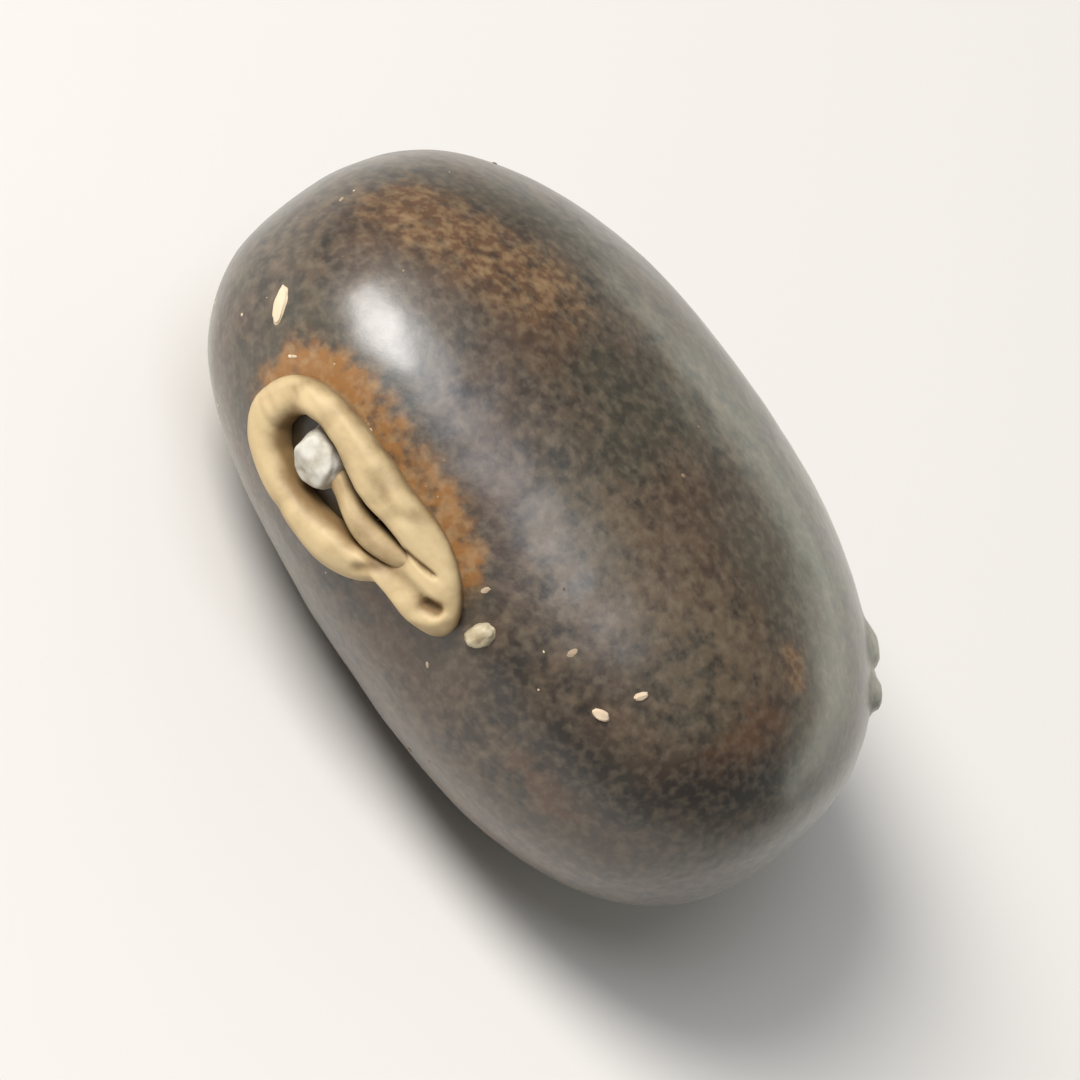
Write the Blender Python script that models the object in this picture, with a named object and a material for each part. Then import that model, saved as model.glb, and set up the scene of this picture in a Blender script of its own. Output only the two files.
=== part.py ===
"""One velvet bean seed at rest on its broad side.

Metres, +Z up. The origin is on the surface that the seed lies on, under the middle of its box.
+X runs along the seed, towards the end away from the hilum, and the hilum faces -Y, tipped up a little.
The solids are formed in axes of their own, with the seed's middle at their origin, and then laid down.
"""

import math
from functools import lru_cache

import bmesh
import bpy
from mathutils import Euler, Matrix, Vector, noise

# Driving dimensions of the seed.
SEED_LENGTH = 0.0155
SEED_WIDTH = 0.0108  # from the hilum's side to the back
SEED_THICKNESS = 0.0085
LENGTH_ROUNDING = 2.5  # exponent of the outline: 2 is an ellipse, and more is squarer ends
GIRTH_ROUNDING = 2.08  # exponent of the cross section
KIDNEY_BEND = 0.0005  # how far the ends lean towards the hilum's side
FAR_END_FULLER = 0.02  # share by which the far end is thicker than the middle
LUMP_HEIGHT = 0.00016
LUMP_SPACING = 0.0052

# How it lies: the hilum's side tipped up, and a small spot pressed flat.
HILUM_TIP = math.radians(12)
REST_FLAT_DEPTH = 0.00032  # how much of the round underside the spot takes off

# The aril, in the plane that touches the seed at the hilum: s along the seed, towards +X, and t up its
# thickness, towards +Z, both counted from a point in the slit.
SLIT_MIDDLE_X = -0.0028
OVAL_MIDDLE = (-0.0005, 0.0)
OVAL_HALF_LENGTH = 0.00242
OVAL_HALF_WIDTH = 0.0012
OVAL_ROUNDING = 2.6
OVAL_LEAN = 0.03  # how far its middle line rises towards +s, as a slope
TAIL_MIDDLE = (0.00216, 0.00046)
TAIL_HALF_LENGTH = 0.00131
TAIL_HALF_WIDTH = 0.00066
TAIL_LEAN = -0.22  # how far the tail drops towards its tip, as a slope
NOTCH_SHARPNESS = 7  # how sharply the tail steps in from the oval
SLIT_HALF_LENGTH = 0.00176
SLIT_HALF_WIDTH = 0.00044
SLIT_OFFSET = 0.0001  # its middle line lies this far towards +t
SLIT_TAPER = 0.15  # share by which the slit narrows towards the tail, and widens away from it
LIP_HEIGHT = 0.00068  # above the coat
ARIL_ROOT = 0.00025  # below the coat
LIP_ROUNDING = 2.4
TAIL_PIT = (0.0028, 0.0001)
TAIL_PIT_RADIUS = 0.00032
TAIL_PIT_DEPTH = 0.0003
TAIL_DROP = 0.00016  # the tail is lower than the lips

# The hilum on the seed itself.
SEAT_GAP = 0.00025  # between the aril and its seat, so that the two meshes stay apart
SEAT_WALL = 0.00004  # how far the seat's wall slopes
SCAR_HEIGHT = 0.00022
SCAR_TOP = 0.8  # share of the scar's half width that its rounded top takes
LENS_MIDDLE = (0.00382, 0.00055)
LENS_HALF_SIZE = (0.00034, 0.00046)
LENS_HEIGHT = 0.00026

# How finely the solids are faceted.
SPOKES = 88  # lines that run out from the hilum
SPOKE_SQUASH = 0.5  # draws the spokes towards the seed's ends, where it curves most
SEED_RINGS = 44
SCAR_RINGS = 3
SEAT_RINGS = 4
COLLAR_RINGS = 7
COLLAR_REACH = 0.0012  # the fine rings end this far outside the aril
BACK_RING_SPREAD = 1.15  # above 1 crowds the other rings towards the fine ones
ARIL_SECTION = 20

COAT_COLOUR = (0.030, 0.022, 0.018, 1.0)
ARIL_COLOUR = (0.78, 0.62, 0.36, 1.0)


def clear_scene():
    for old in list(bpy.data.objects):
        bpy.data.objects.remove(old, do_unlink=True)


# The smooth form of the seed.


def coat_point(direction):
    """The point of the coat that lies this way from the seed's middle."""
    half_length, half_width, half_thickness = SEED_LENGTH / 2, SEED_WIDTH / 2, SEED_THICKNESS / 2
    across = abs(direction.y / half_width) ** GIRTH_ROUNDING
    across += abs(direction.z / half_thickness) ** GIRTH_ROUNDING
    along = abs(direction.x / half_length) ** LENGTH_ROUNDING
    reach = (across ** (LENGTH_ROUNDING / GIRTH_ROUNDING) + along) ** (-1 / LENGTH_ROUNDING)
    point = direction * reach
    share = point.x / half_length
    fuller = 1 + FAR_END_FULLER * share
    lump = 1 + LUMP_HEIGHT / half_thickness * noise.noise(point / LUMP_SPACING)
    return Vector((point.x, point.y * fuller * lump - KIDNEY_BEND * share**2, point.z * fuller * lump))


def hilum_plane_distance():
    """How far the plane of the hilum is from the seed's middle."""
    return -coat_point(Vector((SLIT_MIDDLE_X, -SEED_WIDTH / 2, 0)).normalized()).y


PLANE_DISTANCE = hilum_plane_distance()


def hilum_ray(s, t):
    """The way from the seed's middle to a point of the hilum's plane."""
    return Vector((SLIT_MIDDLE_X + s, -PLANE_DISTANCE, t)).normalized()


def near_hilum(s, t, height):
    """A point over the coat near the hilum, its height measured square to the coat."""
    step = 0.0002
    along = coat_point(hilum_ray(s + step, t)) - coat_point(hilum_ray(s - step, t))
    up = coat_point(hilum_ray(s, t + step)) - coat_point(hilum_ray(s, t - step))
    return coat_point(hilum_ray(s, t)) + along.cross(up).normalized() * height


# The outlines of the aril, along spokes from the middle of the slit.


def spoke(angle):
    """The unit direction (s, t) of the spoke at this angle round a starting sphere or torus."""
    s, t = math.cos(angle), SPOKE_SQUASH * math.sin(angle)
    size = math.hypot(s, t)
    return s / size, t / size


def oval_field(s, t, half_length, half_width, rounding):
    """1 on the edge of an oval, and less inside it."""
    return (abs(s / half_length) ** rounding + abs(t / half_width) ** rounding) ** (1 / rounding)


def aril_field(s, t, grow):
    """1 on the outer edge of the aril, grown all round, whose oval and tail lobe meet in a soft notch."""
    along = s - OVAL_MIDDLE[0]
    aside = t - OVAL_MIDDLE[1] - OVAL_LEAN * along
    oval = oval_field(along, aside, OVAL_HALF_LENGTH + grow, OVAL_HALF_WIDTH + grow, OVAL_ROUNDING)
    along = s - TAIL_MIDDLE[0]
    aside = t - TAIL_MIDDLE[1] - TAIL_LEAN * along
    tail = oval_field(along, aside, TAIL_HALF_LENGTH + grow, TAIL_HALF_WIDTH + grow, 2)
    nearly_none = 0.001
    both = [max(field, nearly_none) ** -NOTCH_SHARPNESS for field in (oval, tail)]
    return sum(both) ** (-1 / NOTCH_SHARPNESS)


def slit_field(s, t, grow):
    half_width = SLIT_HALF_WIDTH * (1 - SLIT_TAPER * s / SLIT_HALF_LENGTH)
    return oval_field(s, t - SLIT_OFFSET, SLIT_HALF_LENGTH + grow, half_width + grow, 2)


@lru_cache(maxsize=None)
def reach_of(field, s, t, grow=0.0):
    """How far along the spoke (s, t) a field reaches 1, found by halving."""
    near, far = 0.0, SEED_LENGTH / 3
    while far - near > 1e-8:
        middle = (near + far) / 2
        if field(s * middle, t * middle, grow) < 1:
            near = middle
        else:
            far = middle
    return near


def hump(s, t, middle, half_size):
    """1 at the middle of an oval spot, fading to 0 at its edge."""
    distance = math.hypot((s - middle[0]) / half_size[0], (t - middle[1]) / half_size[1])
    return 0.5 + 0.5 * math.cos(math.pi * min(distance, 1.0))


# The seed, from a sphere whose pole is the hilum.


def seat_steps(s, t):
    """(distance along a spoke, height) of each fine ring of the seed, from the scar to past the aril."""
    scar_edge = reach_of(slit_field, s, t, -SEAT_GAP)
    seat_edge = reach_of(aril_field, s, t, SEAT_GAP)
    floor = -ARIL_ROOT - SEAT_GAP
    steps = []
    for ring in range(1, SCAR_RINGS + 1):
        share = ring / SCAR_RINGS
        steps.append((scar_edge * share * SCAR_TOP, SCAR_HEIGHT * math.sqrt(1 - SCAR_TOP * share**2)))
    for ring in range(SEAT_RINGS + 1):
        steps.append((scar_edge + (seat_edge - SEAT_WALL - scar_edge) * ring / SEAT_RINGS, floor))
    for ring in range(COLLAR_RINGS + 1):
        steps.append((seat_edge + COLLAR_REACH * ring / COLLAR_RINGS, 0.0))
    return steps


def seed_point(angle, ring):
    """Where a point of the starting sphere goes. Ring 0 is the pole in the slit."""
    s, t = spoke(angle)
    steps = seat_steps(s, t)
    if ring == 0:
        return near_hilum(0, 0, SCAR_HEIGHT)
    if ring <= len(steps):
        distance, height = steps[ring - 1]
        s, t = s * distance, t * distance
        return near_hilum(s, t, height + LENS_HEIGHT * hump(s, t, LENS_MIDDLE, LENS_HALF_SIZE))
    edge = hilum_ray(s * steps[-1][0], t * steps[-1][0])
    back = -hilum_ray(0, 0)
    share = (ring - len(steps)) / (SEED_RINGS - len(steps))
    return coat_point(edge.slerp(back, share**BACK_RING_SPREAD))


def make_seed():
    """The body with its scar, seat and lens, out of one sphere."""
    mesh = bpy.data.meshes.new("seed")
    bm = bmesh.new()
    bmesh.ops.create_uvsphere(bm, u_segments=SPOKES, v_segments=SEED_RINGS, radius=1.0)
    for vert in bm.verts:
        angle = math.atan2(vert.co.y, vert.co.x)
        polar = math.acos(max(-1.0, min(1.0, vert.co.z)))
        vert.co = seed_point(angle, round(polar / math.pi * SEED_RINGS))
    bmesh.ops.triangulate(bm, faces=bm.faces[:])
    bm.to_mesh(mesh)
    bm.free()
    return bpy.data.objects.new("seed", mesh)


# The aril, from a torus round the slit.


def aril_point(angle, section_angle):
    """Where a point of the starting torus goes. Section angle 0 is the outer wall, a quarter turn the top."""
    s, t = spoke(angle)
    inner, outer = reach_of(slit_field, s, t), reach_of(aril_field, s, t)
    cosine, sine = math.cos(section_angle), math.sin(section_angle)
    across = math.copysign(abs(cosine) ** (2 / LIP_ROUNDING), cosine)
    rise = math.copysign(abs(sine) ** (2 / LIP_ROUNDING), sine)
    distance = (outer + inner) / 2 + (outer - inner) / 2 * across
    s, t = s * distance, t * distance
    height = (LIP_HEIGHT - ARIL_ROOT) / 2 + (LIP_HEIGHT + ARIL_ROOT) / 2 * rise
    lowered = TAIL_DROP * max(0.0, min(1.0, (s - TAIL_MIDDLE[0] + TAIL_HALF_LENGTH) / TAIL_HALF_LENGTH))
    lowered += TAIL_PIT_DEPTH * hump(s, t, TAIL_PIT, (TAIL_PIT_RADIUS, TAIL_PIT_RADIUS))
    return near_hilum(s, t, height - lowered * max(0.0, rise))


def make_aril():
    """The collar with its tail, out of one torus."""
    bpy.ops.mesh.primitive_torus_add(
        major_segments=SPOKES, minor_segments=ARIL_SECTION, major_radius=1.0, minor_radius=0.25
    )
    aril = bpy.context.object
    aril.name = aril.data.name = "aril"
    for vert in aril.data.vertices:
        angle = math.atan2(vert.co.y, vert.co.x)
        section_angle = math.atan2(vert.co.z, math.hypot(vert.co.x, vert.co.y) - 1.0)
        vert.co = aril_point(angle, section_angle)
    return aril


# Finish and rest.


def give_material(obj, name, colour, roughness):
    material = bpy.data.materials.new(name)
    material.use_nodes = True
    shader = material.node_tree.nodes["Principled BSDF"]
    shader.inputs["Base Color"].default_value = colour
    shader.inputs["Roughness"].default_value = roughness
    shader.inputs["Metallic"].default_value = 0.0
    obj.data.materials.append(material)
    obj.data.shade_smooth()
    obj.data.set_sharp_from_angle(angle=math.radians(50))


def box_of(points):
    low = Vector([min(p[axis] for p in points) for axis in range(3)])
    high = Vector([max(p[axis] for p in points) for axis in range(3)])
    return low, high


def rest_matrix(objects):
    """Tips the seed and sets it on the surface, REST_FLAT_DEPTH into it, with its box over the origin."""
    tip = Euler((-HILUM_TIP, 0, 0)).to_matrix()
    low, high = box_of([tip @ v.co for obj in objects for v in obj.data.vertices])
    middle = (low + high) / 2
    return Matrix.Translation((-middle.x, -middle.y, -low.z - REST_FLAT_DEPTH)) @ tip.to_4x4()


def press_flat(obj, rest):
    """Presses what would be under the surface flat onto it."""
    back = rest.inverted()
    for vert in obj.data.vertices:
        placed = rest @ vert.co
        if placed.z < 0:
            placed.z = 0
            vert.co = back @ placed


def main():
    clear_scene()
    collection = bpy.data.collections.new("velvet_bean")
    bpy.context.scene.collection.children.link(collection)
    seed, aril = make_seed(), make_aril()
    for old in list(aril.users_collection):
        old.objects.unlink(aril)
    give_material(seed, "seed_coat", COAT_COLOUR, 0.35)
    give_material(aril, "aril", ARIL_COLOUR, 0.7)
    rest = rest_matrix([seed, aril])
    press_flat(seed, rest)
    axes = bpy.data.objects.new("seed_axes", None)
    axes.matrix_world = rest
    collection.objects.link(axes)
    for piece in (seed, aril):
        piece.parent = axes
        collection.objects.link(piece)


main()
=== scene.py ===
"""One velvet bean seed, dressed for a close picture on a plain pale floor.

Metres, +Z up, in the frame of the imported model. The seed's own axes have its middle at their origin,
with +X towards the end away from the hilum and the hilum facing -Y. The hilum's plane has s along the
seed, towards +X, and t up its thickness, both counted from a point in the slit.
"""

import math
from functools import lru_cache

import bmesh
import bpy
import numpy as np
from bpy.props import FloatProperty, FloatVectorProperty, IntProperty, PointerProperty
from mathutils import Euler, Matrix, Vector, noise


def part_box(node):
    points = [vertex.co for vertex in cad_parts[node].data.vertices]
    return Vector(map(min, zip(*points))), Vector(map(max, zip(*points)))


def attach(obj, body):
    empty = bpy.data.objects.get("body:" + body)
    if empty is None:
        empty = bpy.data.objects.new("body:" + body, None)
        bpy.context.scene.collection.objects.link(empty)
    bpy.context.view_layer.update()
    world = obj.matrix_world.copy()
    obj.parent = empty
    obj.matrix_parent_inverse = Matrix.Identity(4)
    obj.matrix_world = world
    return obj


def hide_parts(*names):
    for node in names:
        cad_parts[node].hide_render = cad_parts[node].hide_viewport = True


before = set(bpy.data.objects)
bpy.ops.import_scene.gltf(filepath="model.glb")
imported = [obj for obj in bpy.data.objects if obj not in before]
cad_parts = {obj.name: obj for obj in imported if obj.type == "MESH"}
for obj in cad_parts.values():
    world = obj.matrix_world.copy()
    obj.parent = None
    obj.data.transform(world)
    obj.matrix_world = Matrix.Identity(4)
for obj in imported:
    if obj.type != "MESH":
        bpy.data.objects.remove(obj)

bl_info = {
    "name": "Velvet Bean",
    "version": (1, 0, 0),
    "blender": (4, 5, 0),
    "location": "View3D > Sidebar > Velvet Bean",
    "description": "Builds one velvet bean seed with its aril, and a plain stage for it",
    "category": "Add Mesh",
}

MM = 0.001

# The solids' own numbers, repeated so that the dressed seed keeps their form.
SLIT_MIDDLE_X = -0.0028
OVAL_MIDDLE = (-0.0005, 0.0)
OVAL_HALF = (0.00242, 0.0012)
OVAL_ROUNDING = 2.6
OVAL_LEAN = 0.03
TAIL_MIDDLE = (0.00216, 0.00046)
TAIL_HALF = (0.00131, 0.00066)
TAIL_LEAN = -0.22
NOTCH_SHARPNESS = 7
SPOKE_SQUASH = 0.5

# Patches of colour on the coat: run of points in the seed's own axes, how far it reaches, and its
# strength. Lengths here and below are in mm.
PATCHES = {
    "rust": (
        (((-6.2, -1.9, 2.7), (-5.5, -1.9, 3.2), (-4.6, -1.8, 3.55), (-3.7, -1.6, 3.85)), 1.15, 0.9),
        (((-5.10, -4.63, 0.75), (-5.4, -4.5, 0.6)), 0.4, 0.9),
        (((4.76, -1.44, 3.56), (5.18, -1.58, 3.38)), 0.35, 0.8),
        (((2.2, 4.6, 1.6), (3.8, 4.1, 1.2)), 1.0, 0.9),
        (((-4.4, 3.6, 2.4), (-5.6, 2.6, 1.9)), 0.9, 0.8),
        (((3.1, -3.6, -2.6), (4.4, -2.9, -2.3)), 0.9, 0.8),
        (((-6.4, -0.6, -1.8), (-5.6, 1.2, -2.4)), 1.0, 0.9),
    ),
    "red": (
        (((5.5, -2.61, 2.88), (5.7, -3.21, 2.4), (5.68, -3.56, 2.12)), 0.55, 1.0),
        (((4.55, -4.96, -0.49), (3.63, -5.2, -0.42)), 0.6, 0.7),
        (((-1.2, 5.0, 1.4), (-2.4, 4.7, 1.9)), 0.8, 0.7),
    ),
    "dark": (
        (((3.6, -5.19, 0.45), (5.14, -4.72, 0.56), (5.78, -3.95, 1.58), (6.45, -2.75, 2.16)), 0.75, 0.9),
        (((1.81, -5.30, 0.68), (2.3, -5.3, 0.1)), 0.5, 0.9),
        (((-1.18, -1.20, 4.14),), 0.9, 0.4),
        (((-2.8, 4.4, -1.0), (0.4, 4.9, -0.8)), 1.3, 0.7),
    ),
    # Painted sheen: the pale patches lie where the top light's gloss trail runs down the middle and along the
    # upper back edge, and paint that sheen into the colour.
    "pale": (
        (((0.9, -3.9, 2.8), (2.6, -3.4, 3.1), (4.2, -3.0, 2.9)), 1.5, 0.8),
        (((0.3, 3.4, 2.9), (2.6, 3.0, 2.9)), 1.4, 0.6),
    ),
    # Painted sheen: the two small bumps are painted the pale grey of the grazing rim sheen.
    "bump_sheen": (
        (((5.52, 2.56, 2.62),), 0.50, 1.0),
        (((6.26, 2.10, 2.34),), 0.44, 1.0),
    ),
}

# Small bumps on the coat near the far end: middle, reach and height.
EDGE_BUMPS = (((5.52, 2.56, 2.62), 0.42, 0.22), ((6.26, 2.10, 2.34), 0.36, 0.24))

# The edge of the opening between the lips, as (s, t).
OPENING = (
    (1.80, 0.45), (1.40, 0.47), (0.95, 0.44), (0.60, 0.38), (0.25, 0.38), (-0.15, 0.44), (-0.65, 0.53),
    (-1.25, 0.52), (-1.64, 0.38), (-1.84, 0.05), (-1.78, -0.32), (-1.38, -0.56), (-0.80, -0.66),
    (-0.35, -0.64), (0.10, -0.54), (0.55, -0.40), (1.00, -0.28), (1.40, -0.12), (1.70, 0.02), (1.85, 0.22),
)

# Grooves and ridges of the lips: run of (s, t), half width and height.
LIP_STROKES = (
    (((1.75, 0.50), (2.15, 0.57), (2.40, 0.63)), 0.05, -0.12),
    (((2.75, 0.22), (2.85, 0.27), (2.95, 0.31)), 0.12, -0.26),
    (((2.45, -0.10), (2.76, -0.20), (3.05, 0.02), (3.20, 0.32)), 0.12, 0.06),
    (((1.50, -0.35), (1.75, 0.00), (2.10, 0.15), (2.45, 0.22)), 0.12, -0.08),
    (((0.30, 0.95), (0.65, 0.75)), 0.24, -0.07),
    (((-0.40, -1.00), (-0.30, -0.60)), 0.18, -0.04),
    (((-2.30, 0.50), (-1.90, 0.30)), 0.18, -0.06),
    (((1.25, 0.95), (1.10, 0.70)), 0.18, -0.04),
    (((-1.30, 1.00), (-1.20, 0.60)), 0.20, -0.04),
)

# The tongue that lies in the slit and joins the tail: (s, t, half width, crest above the coat).
TONGUE_RUN = (
    (-1.50, 0.05, 0.10, 0.02), (-1.00, 0.00, 0.25, 0.08), (-0.40, 0.05, 0.25, 0.18),
    (0.10, 0.09, 0.18, 0.36), (0.50, 0.03, 0.20, 0.46), (0.90, 0.02, 0.24, 0.52),
    (1.30, 0.09, 0.25, 0.54), (1.70, 0.22, 0.23, 0.52), (2.00, 0.34, 0.18, 0.42),
    (2.25, 0.40, 0.10, 0.26),
)
TONGUE_ROOT = -0.1

# Planes that cut a crumb out of a ball: which way each faces, and how far out it is, as a share of the
# radius.
CRUMB_FACETS = (
    ((-0.45, 0.20, 0.90), 0.80), ((0.50, -0.10, 0.86), 0.76), ((1.0, 0.1, 0.2), 0.92),
    ((-1.0, 0.2, 0.1), 0.90), ((0.2, 1.0, 0.2), 0.90), ((0.1, -1.0, 0.15), 0.92),
    ((0.8, 0.8, 0.1), 0.95), ((-0.7, 0.9, 0.2), 0.93), ((-0.7, -0.9, 0.3), 0.90),
    ((0.9, -0.8, 0.1), 0.96), ((0.0, 0.0, -1.0), 0.90),
)

# Crumbs of pod lining stuck to the coat: place and long way in the seed's own axes, halves, and paleness.
STUCK_CRUMBS = (
    ((-6.38, -3.90, 0.52), (0.46, -0.46, -0.39), (0.38, 0.14, 0.07), 1.00),
    ((3.77, -4.39, 2.11), (0.30, 0.60, 0.70), (0.14, 0.08, 0.05), 0.85),
    ((3.63, -4.87, 1.42), (0.80, 0.20, 0.30), (0.18, 0.10, 0.06), 0.90),
    ((0.40, -5.15, 1.11), (0.20, 0.30, 0.90), (0.10, 0.06, 0.03), 0.50),
    ((2.31, -4.87, 1.69), (0.10, 0.50, 0.80), (0.12, 0.07, 0.03), 0.40),
    ((2.90, 4.10, 2.20), (0.60, 0.40, 0.30), (0.22, 0.12, 0.05), 0.80),
)


# Colours and nodes.


def linear(colour):
    """An sRGB hex colour as linear RGBA."""
    parts = [int(colour[i : i + 2], 16) / 255 for i in (0, 2, 4)]
    return (*[p / 12.92 if p <= 0.04045 else ((p + 0.055) / 1.055) ** 2.4 for p in parts], 1.0)


def node(tree, kind, inputs=None, **settings):
    """Adds a node, applies its settings, and gives its inputs their values or links."""
    made = tree.nodes.new(kind)
    for name, value in settings.items():
        setattr(made, name, value)
    for name, value in (inputs or {}).items():
        if isinstance(value, bpy.types.NodeSocket):
            tree.links.new(value, made.inputs[name])
        else:
            made.inputs[name].default_value = value
    return made


def new_material(name, **values):
    """A material whose shader sockets are set, as (node tree, its shader, its object coordinates)."""
    material = bpy.data.materials.new(name)
    material.use_nodes = True
    tree = material.node_tree
    shader = tree.nodes["Principled BSDF"]
    for socket, value in values.items():
        shader.inputs[socket.replace("_", " ")].default_value = value
    return tree, shader, node(tree, "ShaderNodeTexCoord").outputs["Object"]


# Properties.


def mm(value, name, description):
    return FloatProperty(
        name=name, description=description, default=value * MM, unit="LENGTH", precision=5
    )


def number(value, name, description):
    return FloatProperty(name=name, description=description, default=value)


def angle(value, name, description):
    return FloatProperty(
        name=name, description=description, default=math.radians(value), subtype="ANGLE"
    )


def power(value, name, description):
    return FloatProperty(name=name, description=description, default=value, unit="POWER")


def colour(value, name, description):
    return FloatVectorProperty(
        name=name, description=description, default=linear(value), size=4, subtype="COLOR", min=0.0, max=1.0
    )


class VelvetBeanCoat(bpy.types.PropertyGroup):
    length: mm(15.5, "Length", "Length of the seed")
    width: mm(10.8, "Width", "From the hilum's side to the back")
    thickness: mm(8.5, "Thickness", "Through the broad sides")
    length_rounding: number(2.5, "Length Rounding", "Exponent of the outline, where 2 is an ellipse")
    girth_rounding: number(2.08, "Girth Rounding", "Exponent of the cross section")
    kidney_bend: mm(0.5, "Kidney Bend", "How far the ends lean towards the hilum's side")
    far_end_fuller: number(0.02, "Far End Fuller", "Share by which the far end is thicker")
    lump_height: mm(0.16, "Lump Height", "Height of the broad lumps")
    lump_spacing: mm(5.2, "Lump Spacing", "Distance between the broad lumps")
    hilum_tip: angle(12, "Hilum Tip", "How far the hilum's side is tipped up")
    fineness: IntProperty(
        name="Fineness", description="Subdivisions of the starting sphere", default=7, min=3, max=7
    )
    ground: colour("201911", "Ground", "The dark ground of the coat")
    mottle: colour("544534", "Mottle", "The pale half of the mottling")
    brown: colour("4C3625", "Brown", "Warm clouds")
    olive: colour("36362A", "Olive", "Cool clouds")
    worn: colour("857660", "Worn", "Dots where the outermost layer has worn")
    rust: colour("5E3F24", "Rust", "Rust-coloured patches")
    red: colour("54361F", "Red", "Reddish patches")
    dark: colour("100D0B", "Dark", "Near-black patches")
    # Painted sheen: this paler colour is painted where the top light's gloss trail and the sheen of the upper
    # back edge fall.
    pale: colour("655540", "Pale", "Patches that are worn paler")
    # Painted sheen: the pale grey of the grazing rim sheen, painted on the two small bumps.
    bump_sheen: colour("8C8470", "Bumps", "The two small bumps near the far end")
    halo: colour("8E5D20", "Halo", "The ring round the aril")
    tan: colour("AA8650", "Tan", "Fine pale mottling in the rust and the ring")
    slit: colour("33260F", "Slit", "The floor of the slit")


class VelvetBeanAril(bpy.types.PropertyGroup):
    lip_height: mm(0.68, "Lip Height", "How far the lips stand above the coat")
    root_depth: mm(0.25, "Root Depth", "How far the aril reaches below the coat")
    rounding: number(2.4, "Rounding", "Exponent of the outer half of the lips' section")
    inner_rounding: number(2.8, "Inner Rounding", "Exponent of the inner half of the lips' section")
    tail_drop: mm(0.16, "Tail Drop", "How much lower the tail is than the lips")
    cream: colour("C8B186", "Cream", "The lips")
    # Painted shade: this darker tan is painted into the lips' grooves, the foot of their walls, their inner
    # sides and the tongue, and also colours the real stains.
    crease: colour("7E6440", "Crease", "The hollows of the lips")
    remnant: colour("C9C5BA", "Remnant", "The dry crumb in the slit")
    lens: colour("BDB193", "Lens", "The small bump past the tail")


class VelvetBeanFlecks(bpy.types.PropertyGroup):
    per_area: number(0.6e6, "Density", "Flecks to a square metre")
    size: mm(0.09, "Size", "Half the width of the largest flecks")
    seed: IntProperty(name="Seed", description="Seed of the random places", default=11)
    pale: colour("D8C3A5", "Pale", "The palest flecks")
    brown: colour("5A4226", "Brown", "The darkest flecks")


class VelvetBeanStage(bpy.types.PropertyGroup):
    floor: colour("E2DED8", "Floor", "The plain floor")
    elevation: angle(43, "Elevation", "Camera's angle above the floor")
    roll: angle(54, "Roll", "Camera's turn about its view")
    distance: mm(400, "Distance", "From the camera to the seed")
    frame_height: mm(20.5, "Frame Height", "What the picture spans at the seed")
    key: power(1.3, "Key Light", "Power of the main light")
    top: power(0.8, "Top Light", "Power of the long light above")
    rim: power(0.36, "Rim Light", "Power of the light behind")
    world: number(0.21, "World Light", "Strength of the even light from all round")


# The form of the coat.


def coat_point(direction):
    """The point of the coat that lies this way from the seed's middle, as in the solids."""
    sizes = bpy.context.scene.velvet_bean_coat
    half_length, half_width, half_thickness = sizes.length / 2, sizes.width / 2, sizes.thickness / 2
    across = abs(direction.y / half_width) ** sizes.girth_rounding
    across += abs(direction.z / half_thickness) ** sizes.girth_rounding
    along = abs(direction.x / half_length) ** sizes.length_rounding
    ratio = sizes.length_rounding / sizes.girth_rounding
    point = direction * (across**ratio + along) ** (-1 / sizes.length_rounding)
    share = point.x / half_length
    fuller = 1 + sizes.far_end_fuller * share
    lump = 1 + sizes.lump_height / half_thickness * noise.noise(point / sizes.lump_spacing)
    bend = sizes.kidney_bend * share**2
    return Vector((point.x, point.y * fuller * lump - bend, point.z * fuller * lump))


@lru_cache(maxsize=None)
def plane_distance():
    """How far the plane of the hilum is from the seed's middle."""
    way = Vector((SLIT_MIDDLE_X, -bpy.context.scene.velvet_bean_coat.width / 2, 0))
    return -coat_point(way.normalized()).y


def hilum_ray(s, t):
    return Vector((SLIT_MIDDLE_X + s, -plane_distance(), t)).normalized()


def near_hilum(s, t, height):
    """A point over the coat near the hilum, its height measured square to the coat."""
    step = 0.2 * MM
    along = coat_point(hilum_ray(s + step, t)) - coat_point(hilum_ray(s - step, t))
    up = coat_point(hilum_ray(s, t + step)) - coat_point(hilum_ray(s, t - step))
    return coat_point(hilum_ray(s, t)) + along.cross(up).normalized() * height


def axes_on_coat(way, along, height=0.0):
    """Axes over the coat's point that lies this way, with X along the coat and Z out of it."""
    way = Vector(way).normalized()
    aside = way.orthogonal().normalized()
    steps = [0.02 * aside, 0.02 * way.cross(aside)]
    tangents = [coat_point(way + step) - coat_point(way - step) for step in steps]
    out = tangents[0].cross(tangents[1]).normalized()
    across = out.cross(Vector(along)).normalized()
    turn = Matrix((across.cross(out), across, out)).transposed()
    return Matrix.Translation(coat_point(way) + out * height) @ turn.to_4x4()


@lru_cache(maxsize=None)
def rest_matrix():
    """From the seed's own axes to where the solid lies."""
    tip = Euler((-bpy.context.scene.velvet_bean_coat.hilum_tip, 0, 0)).to_matrix()
    count = 6000
    points = []
    for i in range(count):
        z = 1 - (2 * i + 1) / count
        turn = i * math.pi * (3 - math.sqrt(5))
        ring = math.sqrt(1 - z * z)
        points.append(tip @ coat_point(Vector((ring * math.cos(turn), ring * math.sin(turn), z))))
    low = Vector([min(p[axis] for p in points) for axis in range(3)])
    high = Vector([max(p[axis] for p in points) for axis in range(3)])
    box_low, box_high = (Vector(corner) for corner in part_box("seed"))
    shift = (box_low + box_high) / 2 - (low + high) / 2
    shift.z = box_high.z - high.z
    return Matrix.Translation(shift) @ tip.to_4x4()


# Mesh helpers.


def places_of(mesh):
    places = np.empty(len(mesh.vertices) * 3)
    mesh.vertices.foreach_get("co", places)
    return places.reshape(-1, 3)


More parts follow.
